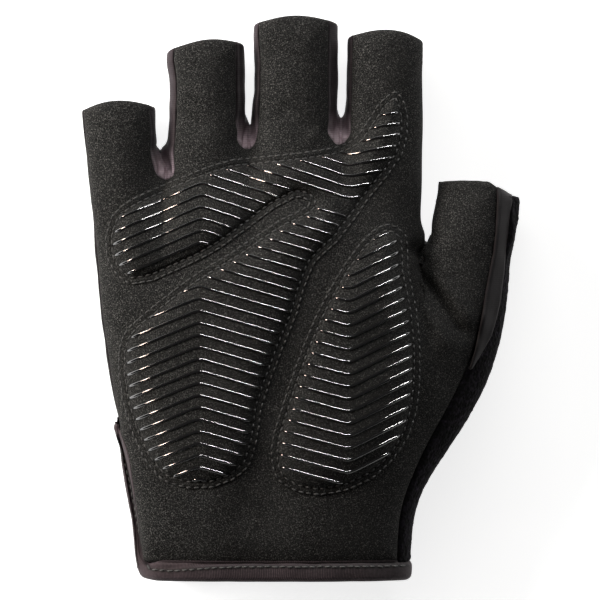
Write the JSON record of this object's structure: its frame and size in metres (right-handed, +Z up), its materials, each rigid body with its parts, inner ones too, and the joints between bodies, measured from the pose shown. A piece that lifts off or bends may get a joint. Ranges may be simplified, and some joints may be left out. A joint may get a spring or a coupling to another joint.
{
  "type": "cycling glove",
  "caption": "Half-finger cycling glove for the right hand, palm up, with two padded palm fields, stretch fourchettes, a terry thumb back and a slit cuff.",
  "frame": {"origin": "on the resting surface, under the middle of the palm, on the flat of the back panel", "axes": "+Z up out of the palm, +Y to the fingertips, +X to the thumb side"},
  "size_m": [0.1271, 0.1616, 0.03],
  "materials": {
    "suede": "brushed black suede",
    "pad_suede": "black suede over foam with clear silicone lines",
    "stretch_cloth": "fine mauve-brown stretch knit",
    "knit": "plain dark stretch knit",
    "terry": "dark looped terry",
    "tape": "folded elastic tape with a stitch row",
    "silicone": "clear glossy silicone lines printed on the pads",
    "thread": "black polyester sewing thread"
  },
  "bodies": {
    "root": {"palm_panel": "suede", "back_panel": "knit", "side_strip": "stretch_cloth", "fourchette_little_ring": "stretch_cloth", "fourchette_ring_middle": "stretch_cloth", "fourchette_middle_index": "stretch_cloth", "thumb_strip": "stretch_cloth", "thumb_back": "terry", "hem_binding": "tape", "palm_pad": "pad_suede", "thenar_pad": "pad_suede"}
  },
  "joints": []
}
